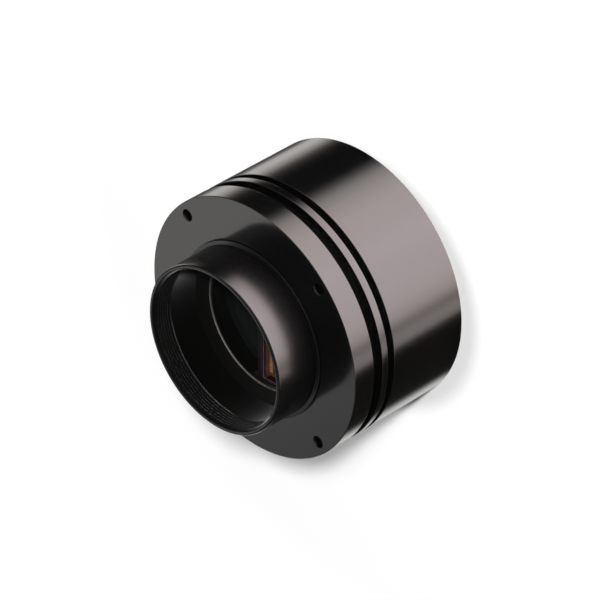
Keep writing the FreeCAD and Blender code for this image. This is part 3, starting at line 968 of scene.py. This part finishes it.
def ioSocketShell():
    s = socket
    x, y = socketPlace()
    low, high = bottom("io_socket_shell"), top("io_socket_shell")
    section = [
        (s["bore"], low),
        (s["flange"], low),
        (s["flange"], coverZ),
        (s["shell"], coverZ),
        (s["shell"], high),
        (s["bore"], high),
    ]
    bm = bmesh.new()
    rounds = (((0,), s["boreEdge"], 3), ((1,), s["edge"], 4), ((4, 5), s["rearEdge"], 2))
    turn(bm, section, rounds, sides["shell"], (x, y))
    keyLow, keyHigh = low + s["keyDepth"], low + s["insertFace"] - s["keyGap"]
    size = (s["keyWidth"], 2 * s["keyDepth"], keyHigh - keyLow)
    block(bm, size, x, y + s["bore"], keyLow, s["keyEdge"])
    return makePiece("ioSocketShell", bm, "shell_nickel", "io_socket_shell")


def pinPlaces():
    s = socket
    x, y = socketPlace()
    places = []
    for i in range(s["pins"]):
        a = math.radians(s["firstPin"] + 360 * i / s["pins"])
        places.append((x + s["pinCircle"] * math.cos(a), y + s["pinCircle"] * math.sin(a)))
    return places


def ioSocketInsert():
    s = socket
    low, high = bottom("io_socket_insert"), top("io_socket_insert")
    shellEnd = top("io_socket_shell")
    section = [
        (0, low),
        (s["insert"], low),
        (s["insert"], shellEnd),
        (s["collar"], shellEnd),
        (s["collar"], high),
        (0, high),
    ]
    bm, cutter = bmesh.new(), bmesh.new()
    turn(bm, section, (((1,), s["insertEdge"], 3),), sides["insert"], socketPlace())
    hole = flaredHole(s["pinHole"] + s["holeFlare"], s["pinHole"], low, low + s["holeFlareDepth"], high)
    for place in pinPlaces():
        turn(cutter, hole, (), sides["small"], place)
    return makePiece("ioSocketInsert", bm, "connector_plastic", "io_socket_insert", cutter=cutter)


def ioSocketPins():
    s = socket
    low, high = bottom("io_socket_contacts"), top("io_socket_contacts")
    bm = bmesh.new()
    rounds = (((1,), s["pinTip"], 5), ((2,), s["pinEnd"], 2))
    for place in pinPlaces():
        turn(bm, rod(s["pinRadius"], low, high), rounds, sides["small"], place)
    return makePiece("ioSocketPins", bm, "gold", "io_socket_contacts")


def dataSocketShell():
    d = dataSocket
    low, high = bottom("data_socket_shell"), top("data_socket_shell")
    inner, outer = dataOutline(), grown(dataOutline(), d["wall"])
    bm = bmesh.new()
    innerVerts = [bm.verts.new((x * mm, y * mm, low * mm)) for x, y in inner]
    outerVerts = [bm.verts.new((x * mm, y * mm, low * mm)) for x, y in outer]
    count = len(inner)
    lip = []
    for i in range(count):
        k = (i + 1) % count
        lip.append(bm.faces.new((outerVerts[i], outerVerts[k], innerVerts[k], innerVerts[i])))
    extrude(bm, lip, high - low)
    bmesh.ops.recalc_face_normals(bm, faces=bm.faces)
    around = [e for e in bm.edges if all(v.co.z < (low + near) * mm for v in e.verts)]
    rimEdges = [e for e in around if (e.verts[0] in innerVerts) == (e.verts[1] in innerVerts)]
    bevel(bm, rimEdges, d["lipRound"], 2, "EDGES")
    return makePiece("dataSocketShell", bm, "shell_nickel", "data_socket_shell")


def tonguePlaces():
    d = dataSocket
    total = d["mainWidth"] + d["bridge"] + d["sideWidth"]
    mainX, sideX = -total / 2 + d["mainWidth"] / 2, total / 2 - d["sideWidth"] / 2
    return ((mainX, d["mainWidth"] - 2 * d["margin"]), (sideX, d["sideWidth"] - 2 * d["margin"]))


def dataSocketTongue():
    d = dataSocket
    high = top("data_socket_tongue")
    baseLow = high - d["base"]
    low = bottom("data_socket_tongue")
    y = middle("data_socket_shell").y
    bm = bmesh.new()
    prism(bm, grown(dataOutline(), -d["baseGap"]), baseLow, high)
    for x, tongueWidth in tonguePlaces():
        size = (tongueWidth, d["tongue"], baseLow - low + d["tongueRoot"])
        block(bm, size, x, y, low, d["tongueRound"])
    return makePiece("dataSocketTongue", bm, "connector_plastic", "data_socket_tongue")


def dataSocketContacts():
    d = dataSocket
    low, high = bottom("data_socket_contacts"), top("data_socket_contacts")
    y = middle("data_socket_contacts").y
    bm = bmesh.new()
    size = (d["contactWidth"], d["contactThickness"], high - low)
    for x, tongueWidth in tonguePlaces():
        pitch = tongueWidth / d["contacts"]
        for i in range(d["contacts"]):
            place = x + pitch * (i - (d["contacts"] - 1) / 2)
            block(bm, size, place, y, low, d["contactRound"])
    return makePiece("dataSocketContacts", bm, "gold", "data_socket_contacts")


guide = {"radius": 1.25, "collar": 1.85, "collarHeight": 0.8, "collarRound": 0.1, "dome": 0.25}


def statusLightGuide():
    g = guide
    low, high = bottom("status_light_guide"), top("status_light_guide")
    centre = middle("status_light_guide")
    section = [
        (0, low),
        (g["radius"], low),
        (g["radius"], coverTop),
        (g["collar"], coverTop),
        (g["collar"], coverTop + g["collarHeight"]),
        (g["radius"], coverTop + g["collarHeight"]),
        (g["radius"], high),
        (0, high),
    ]
    bm = bmesh.new()
    rounds = (((1,), g["dome"], 5), ((3, 4), g["collarRound"], 2))
    turn(bm, section, rounds, sides["guide"], (centre.x, centre.y))
    return makePiece("statusLightGuide", bm, "clear_plastic", "status_light_guide")


rearCover()
coverScrews()
ioSocketShell()
ioSocketInsert()
ioSocketPins()
dataSocketShell()
dataSocketTongue()
dataSocketContacts()
statusLightGuide()
print("rear pieces made")

package = {"cavityWidth": 4.4, "cavityLength": 35.7, "floor": 1.3, "notch": 1.0, "edge": 0.1, "rimSkin": 0.05}


def sensorPackage():
    p = package
    low, high = bottom("sensor_package"), top("sensor_package")
    sizeX, sizeY = width("sensor_package", 0), width("sensor_package", 1)
    bm, cutter = bmesh.new(), bmesh.new()
    block(bm, (sizeX, sizeY, high - low), 0, 0, low, p["edge"])
    block(cutter, (p["cavityWidth"], p["cavityLength"], high - low), 0, 0, low + p["floor"])
    turn(cutter, rod(p["notch"], low - cutOver, high + cutOver), (), sides["notch"], (0, sizeY / 2))
    piece = makePiece("sensorPackage", bm, "ceramic", "sensor_package", cutter=cutter)
    piece.data.materials.append(grainedMaterial("goldShelf"))
    halfX, halfY = p["cavityWidth"] / 2 + near, p["cavityLength"] / 2
    for face in piece.data.polygons:
        x, y, z = (v / mm for v in face.center)
        if abs(x) < halfX and abs(y) < halfY and low + p["floor"] - near < z < high - p["rimSkin"]:
            face.material_index = 1
    return piece


pane = {"edge": 0.12, "slant": (0.1, 0.98)}  # slant: share of a chamfer's normal that points along the axis


def sensorGlass():
    low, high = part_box("sensor_glass")
    size = [v / mm for v in high - low]
    bm = bmesh.new()
    block(bm, size, 0, 0, low.z / mm, pane["edge"])
    piece = makePiece("sensorGlass", bm, "clear_glass", "sensor_glass")
    piece.data.materials.append(grainedMaterial("groundGlassEdge"))
    for face in piece.data.polygons:
        if pane["slant"][0] < abs(face.normal.z) < pane["slant"][1]:
            face.material_index = 1
    return piece


sensorPackage()
sensorGlass()
print("sensor made")

# studio
floorSettings = {
    "size": 8.0,
    "colour": "f2f2f2",
    "paintedLightFrom": 0.09,  # metres from the set where painted light on the paper starts; it grows out to the next distance, whitening the far paper while the shade near the set is left
    "paintedLightTo": 0.17,
    "paintedLight": 0.16,
    "mirrored": 0.02,
}


def seenRays(tree, path):
    # 1 for a ray that is looked along, mirrored or passed through, and 0 for one that only carries light
    seen = path.outputs["Is Camera Ray"]
    for kind in ("Is Glossy Ray", "Is Transmission Ray"):
        seen = addNode(tree, "ShaderNodeMath", {0: seen, 1: path.outputs[kind]}, operation="MAXIMUM").outputs[0]
    return seen


def makeFloor():
    f = floorSettings
    bm = bmesh.new()
    bmesh.ops.create_grid(bm, x_segments=1, y_segments=1, size=f["size"] / 2)
    floor = meshObject("floor", bm)
    material, tree = newMaterial("whitePaperSweep")
    path = addNode(tree, "ShaderNodeLightPath")
    paper = addNode(tree, "ShaderNodeBsdfDiffuse", {"Color": linear(f["colour"])})
    coords = addNode(tree, "ShaderNodeTexCoord")
    away = addNode(tree, "ShaderNodeVectorMath", {0: coords.outputs["Object"]}, operation="LENGTH")
    # painted light: emission on the paper that grows with distance from the set, so the far paper turns white
    # while the shade near the set stays
    span = {
        "Value": away.outputs["Value"],
        "From Min": f["paintedLightFrom"],
        "From Max": f["paintedLightTo"],
        "To Max": f["paintedLight"],
    }
    paintedPool = addNode(tree, "ShaderNodeMapRange", span)
    paintedLight = addNode(tree, "ShaderNodeMath", {0: seenRays(tree, path), 1: paintedPool.outputs[0]}, operation="MULTIPLY")
    light = addNode(tree, "ShaderNodeEmission", {"Color": linear("ffffff"), "Strength": paintedLight.outputs[0]})
    both = addNode(tree, "ShaderNodeAddShader", {0: paper.outputs[0], 1: light.outputs[0]})
    clear = addNode(tree, "ShaderNodeBsdfTransparent")
    # the tent's lower half shows through the sheet in the camera body's sides
    glossy = {0: path.outputs["Is Glossy Ray"], 1: 1 - f["mirrored"]}
    share = addNode(tree, "ShaderNodeMath", glossy, operation="MULTIPLY")
    parts = {0: share.outputs[0], 1: both.outputs[0], 2: clear.outputs[0]}
    finishMaterial(material, addNode(tree, "ShaderNodeMixShader", parts))
    floor.data.materials.append(material)


ambient = 0.1  # level of the white world for rays that only carry light


def makeWorld():
    world = bpy.data.worlds.new("studio")
    bpy.context.scene.world = world
    world.use_nodes = True
    tree = world.node_tree
    tree.nodes.clear()
    seen = seenRays(tree, addNode(tree, "ShaderNodeLightPath"))
    notSeen = addNode(tree, "ShaderNodeMath", {0: 1.0, 1: seen}, operation="SUBTRACT")
    rest = addNode(tree, "ShaderNodeMath", {0: notSeen.outputs[0], 1: ambient}, operation="MULTIPLY")
    total = addNode(tree, "ShaderNodeMath", {0: seen, 1: rest.outputs[0]}, operation="ADD")
    back = addNode(tree, "ShaderNodeBackground", {"Color": linear("ffffff"), "Strength": total.outputs[0]})
    addNode(tree, "ShaderNodeOutputWorld", {"Surface": back.outputs[0]})


# light tent round the set, seen in glossy sides only
tent = {
    "radius": 1.7,
    "facets": (64, 32),
    "peak": 7.0,
    "seam": (-0.06, 0.02),  # share of the radius over which walls give way to the roof
    "firstAzimuth": -134.0,
    # azimuth in degrees, then red, green and blue level below the table top
    "walls": [
        (-134, 0.25, 0.25, 0.24),
        (-124, 0.42, 0.42, 0.41),
        (-116, 1.05, 1.05, 1.03),
        (-109, 1.07, 1.07, 1.05),
        (-104, 0.98, 0.98, 0.96),
        (-99, 0.45, 0.45, 0.44),
        (-94, 0.04, 0.04, 0.04),
        (-88, 0.01, 0.01, 0.01),
        (-38, 0.01, 0.01, 0.0),
        (-32, 0.2, 0.17, 0.16),
        (-28, 2.0, 1.78, 1.73),
        (-22, 2.44, 2.18, 2.11),
        (-14, 1.8, 1.57, 1.5),
        (-6, 4.1, 3.6, 3.5),
        (4, 5.4, 4.75, 4.6),
        (20, 5.95, 5.2, 5.3),
        (50, 6.55, 5.7, 5.8),
        (84, 5.66, 4.97, 4.87),
        (98, 4.41, 3.85, 3.75),
        (108, 2.7, 2.47, 2.35),
        (116, 0.6, 0.55, 0.52),
        (122, 0.0, 0.0, 0.0),
        (150, 0.0, 0.0, 0.0),
        (158, 0.08, 0.07, 0.06),
        (164, 0.33, 0.3, 0.28),
        (172, 1.28, 1.22, 1.14),
        (181, 1.68, 1.61, 1.52),
        (190, 1.2, 1.17, 1.12),
        (198, 0.25, 0.24, 0.22),
        (206, 0.06, 0.06, 0.06),
        (216, 0.12, 0.12, 0.12),
        (225, 0.08, 0.08, 0.08),
    ],
    # azimuth, then levels above the table top where the cloth is lit most
    "roof": [
        (-134, 0.55, 0.55, 0.55),
        (-120, 0.35, 0.35, 0.35),
        (-60, 0.2, 0.2, 0.2),
        (0, 0.3, 0.28, 0.28),
        (44, 0.7, 0.65, 0.65),
        (100, 0.4, 0.38, 0.38),
        (140, 0.4, 0.4, 0.4),
        (172, 0.7, 0.69, 0.68),
        (190, 0.5, 0.5, 0.5),
        (210, 0.8, 0.79, 0.78),
        (222, 1.25, 1.23, 1.2),
        (225, 0.8, 0.8, 0.79),
    ],
    # elevation, then share of the level
    "rise": [(0, 0.05), (22, 0.12), (31, 0.9), (36, 1.0), (45, 1.0), (60, 0.5), (75, 0.25), (90, 0.12)],
}


def setRamp(ramp, stops):
    ramp.color_ramp.interpolation = "LINEAR"
    elements = ramp.color_ramp.elements
    while len(elements) > 1:
        elements.remove(elements[-1])
    elements[0].position, elements[0].color = stops[0][0], (*stops[0][1], 1.0)
    for position, colour in stops[1:]:
        elements.new(position).color = (*colour, 1.0)


def levelRamp(tree, factor, table):
    # azimuths become places on the ramp, and levels become shares of the tent's peak
    t = tent
    ramp = addNode(tree, "ShaderNodeValToRGB", {"Fac": factor})
    stops = [((a - t["firstAzimuth"]) / 360, [v / t["peak"] for v in levels]) for a, *levels in table]
    setRamp(ramp, stops)
    return ramp.outputs["Color"]


def makeTent():
    t = tent
    bm = bmesh.new()
    around, upward = t["facets"]
    bmesh.ops.create_uvsphere(bm, u_segments=around, v_segments=upward, radius=t["radius"])
    bmesh.ops.reverse_faces(bm, faces=bm.faces)
    shell = meshObject("lightTent", bm)
    material, tree = newMaterial("lightTentCloth")
    coords = addNode(tree, "ShaderNodeTexCoord")
    direction = addNode(tree, "ShaderNodeVectorMath", {0: coords.outputs["Object"]}, operation="NORMALIZE")
    split = addNode(tree, "ShaderNodeSeparateXYZ", {0: direction.outputs[0]})
    flat = {0: split.outputs["Y"], 1: split.outputs["X"]}
    azimuth = addNode(tree, "ShaderNodeMath", flat, operation="ARCTAN2")
    start = -math.radians(t["firstAzimuth"])
    turned = addNode(tree, "ShaderNodeMath", {0: azimuth.outputs[0], 1: start}, operation="ADD")
    turns = addNode(tree, "ShaderNodeMath", {0: turned.outputs[0], 1: 2 * math.pi}, operation="DIVIDE")
    part = addNode(tree, "ShaderNodeMath", {0: turns.outputs[0]}, operation="FRACT").outputs[0]
    walls, roof = levelRamp(tree, part, t["walls"]), levelRamp(tree, part, t["roof"])
    rise = addNode(tree, "ShaderNodeValToRGB", {"Fac": split.outputs["Z"]})
    setRamp(rise, [(math.sin(math.radians(e)), [share] * 3) for e, share in t["rise"]])
    lit = addNode(tree, "ShaderNodeVectorMath", {0: roof, 1: rise.outputs["Color"]}, operation="MULTIPLY")
    seam = {"Value": split.outputs["Z"], "From Min": t["seam"][0], "From Max": t["seam"][1]}
    upper = addNode(tree, "ShaderNodeMapRange", seam)
    levels = {0: upper.outputs[0], 6: walls, 7: lit.outputs[0]}
    both = addNode(tree, "ShaderNodeMix", levels, data_type="RGBA")
    light = addNode(tree, "ShaderNodeEmission", {"Color": both.outputs[2], "Strength": t["peak"]})
    finishMaterial(material, light)
    material.cycles.emission_sampling = "NONE"
    shell.data.materials.append(material)
    for ray in ("camera", "diffuse", "shadow", "transmission"):
        setattr(shell, "visible_" + ray, False)


lamps = {
    # direction from the set, distance in metres, disk size in metres, watts
    "frontLamp": ((0.5281, 0.6249, 0.5801), 3.0, 0.25, 78.0),
    "sideLamp": ((0.4927, 0.6364, 0.6043), 3.0, 0.36, 34.0),
    "topLamp": ((-0.12, 0.0212, 0.9925), 3.0, 0.4, 29.0),
}


def areaLamp(name):
    towards, distance, size, power = lamps[name]
    data = bpy.data.lights.new(name, "AREA")
    data.shape = "DISK"
    data.size = size
    data.energy = power
    lamp = bpy.data.objects.new(name, data)
    bpy.context.scene.collection.objects.link(lamp)
    direction = Vector(towards).normalized()
    lamp.visible_glossy = False
    lamp.location = direction * distance
    lamp.rotation_mode = "QUATERNION"
    lamp.rotation_quaternion = direction.to_track_quat("Z", "Y")


makeFloor()
makeWorld()
makeTent()
for lampName in lamps:
    areaLamp(lampName)
print("studio made")

viewpoint = {
    # place in metres, then the picture's right, up and backward directions
    "position": (0.54084, 0.53024, 0.55772),
    "right": (0.70557, 0.0, -0.70864),
    "up": (-0.40408, 0.82150, -0.40232),
    "back": (0.58215, 0.57021, 0.57962),
    "lens": 244.9,
    "sensor": 36.0,
    "nearest": 0.05,
    "farthest": 50.0,
}
cameraData = bpy.data.cameras.new("camera")
cameraData.lens = viewpoint["lens"]
cameraData.sensor_width = viewpoint["sensor"]
cameraData.clip_start, cameraData.clip_end = viewpoint["nearest"], viewpoint["farthest"]
camera = bpy.data.objects.new("camera", cameraData)
bpy.context.scene.collection.objects.link(camera)
place = Matrix([viewpoint[side] for side in ("right", "up", "back")]).transposed().to_4x4()
place.translation = Vector(viewpoint["position"])
camera.matrix_world = place
bpy.context.scene.camera = camera
bpy.context.scene.view_settings.view_transform = "Standard"
